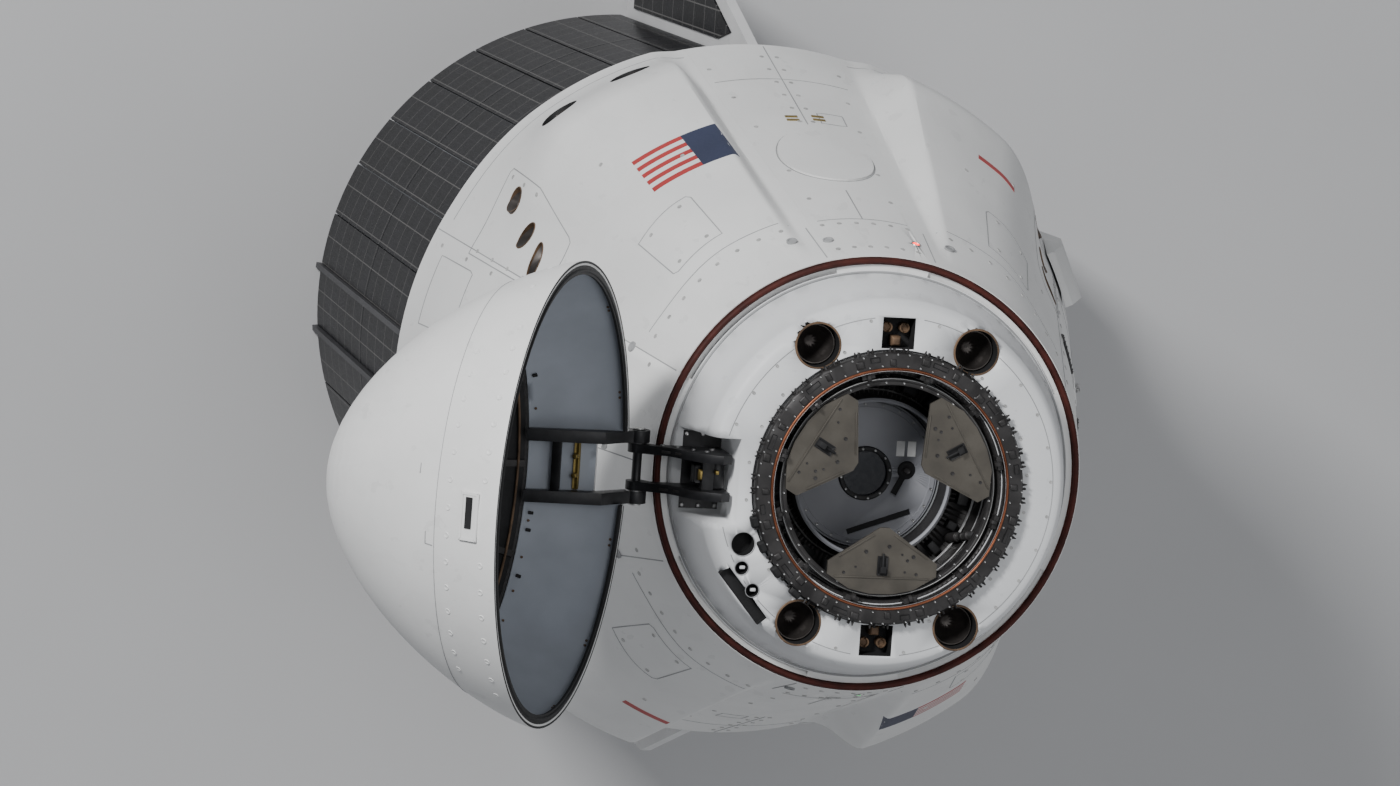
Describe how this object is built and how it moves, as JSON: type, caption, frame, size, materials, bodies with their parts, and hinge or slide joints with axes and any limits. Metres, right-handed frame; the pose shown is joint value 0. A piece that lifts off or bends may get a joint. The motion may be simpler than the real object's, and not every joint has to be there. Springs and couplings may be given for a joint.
{
  "type": "crewed space capsule",
  "caption": "Cone-shaped crewed space capsule with open hinged nose cone, docking ring, crew hatch and an open trunk with solar panels and fins.",
  "frame": {"origin": "centre of the trunk's aft ring, on its aft face", "axes": "+Z from the trunk to the nose; -X to the nose cone hinge and the solar half; +X to the crew hatch; +Y to port"},
  "size_m": [5.2106, 4.9006, 8.9712],
  "materials": {
    "wall_white": "satin white thermal coating",
    "deck_white": "satin white coating",
    "heat_shield_black": "matte ablator",
    "inner_grey": "satin grey paint",
    "nozzle_metal": "heat-stained metal",
    "seal_red": "brown-red silicone seal",
    "adapter_dark": "dark anodised",
    "bare_metal": "machined",
    "petal_metal": "satin",
    "hatch_grey": "satin grey paint",
    "window_glass": "clear, dark behind",
    "seat_dark": "dark cloth over a shell",
    "panel_dark": "gloss screens",
    "liner_grey": "satin grey coating",
    "rim_black": "black seal",
    "hinge_black": "black anodised",
    "lamp_lens": "clear lens over a coloured lamp",
    "trunk_grey": "satin grey",
    "ring_metal": "machined",
    "solar_cells": "dark cells under clear cover",
    "rail_dark": "dark anodised",
    "radiator_white": "white radiator coating",
    "fin_white": "satin white"
  },
  "bodies": {
    "capsule": {"heat_shield": "heat_shield_black", "hinge_side_panel": "wall_white", "hatch_side_panel": "wall_white", "port_panel": "wall_white", "starboard_panel": "wall_white", "pod_port_hinge_side": "wall_white", "pod_port_hatch_side": "wall_white", "pod_starboard_hinge_side": "wall_white", "pod_starboard_hatch_side": "wall_white", "abort_engine_nozzles": "nozzle_metal", "side_thruster_nozzles": "nozzle_metal", "forward_bulkhead": "inner_grey", "forward_deck": "deck_white", "forward_thruster_nozzles": "nozzle_metal", "seal_ring": "seal_red", "docking_tunnel": "adapter_dark", "docking_ring": "adapter_dark", "soft_capture_ring": "bare_metal", "guide_petals": "petal_metal", "capture_struts": "bare_metal", "side_hatch_hinge": "bare_metal", "side_windows": "window_glass", "cabin_floor": "inner_grey", "crew_seats": "seat_dark", "control_panel": "panel_dark", "nose_hinge_bracket": "hinge_black", "umbilical_fairing": "wall_white", "port_cover": "wall_white", "navigation_lights": "lamp_lens", "trunk_solar_half": "trunk_grey", "trunk_radiator_half": "trunk_grey", "trunk_rings": "ring_metal", "solar_panels": "solar_cells", "panel_rails": "rail_dark", "radiator_panels": "radiator_white", "fins": "fin_white", "fin_solar_cells": "solar_cells"},
    "nose_cone": {"nose_cone_shell": "wall_white", "nose_cone_liner": "liner_grey", "nose_rim_seal": "rim_black", "nose_hinge_arms": "hinge_black"},
    "crew_hatch": {"side_hatch": "wall_white", "side_hatch_window": "window_glass"},
    "tunnel_door": {"tunnel_hatch": "hatch_grey", "tunnel_hatch_window": "window_glass"}
  },
  "joints": [
    {"name": "nose_cone_hinge", "type": "hinge", "parent": "capsule", "child": "nose_cone", "pos_m": [-1.217, 0, 6.876], "axis": [0, 1, 0], "range_deg": [0, 117]},
    {"name": "crew_hatch_hinge", "type": "hinge", "parent": "capsule", "child": "crew_hatch", "pos_m": [1.55557, -0.43, 5.24427], "axis": [0.263, 0, -0.9648], "range_deg": [0, 110]},
    {"name": "tunnel_hatch_hinge", "type": "hinge", "parent": "capsule", "child": "tunnel_door", "pos_m": [0, 0.441, 6.716], "axis": [1, 0, 0], "range_deg": [0, 90]}
  ]
}
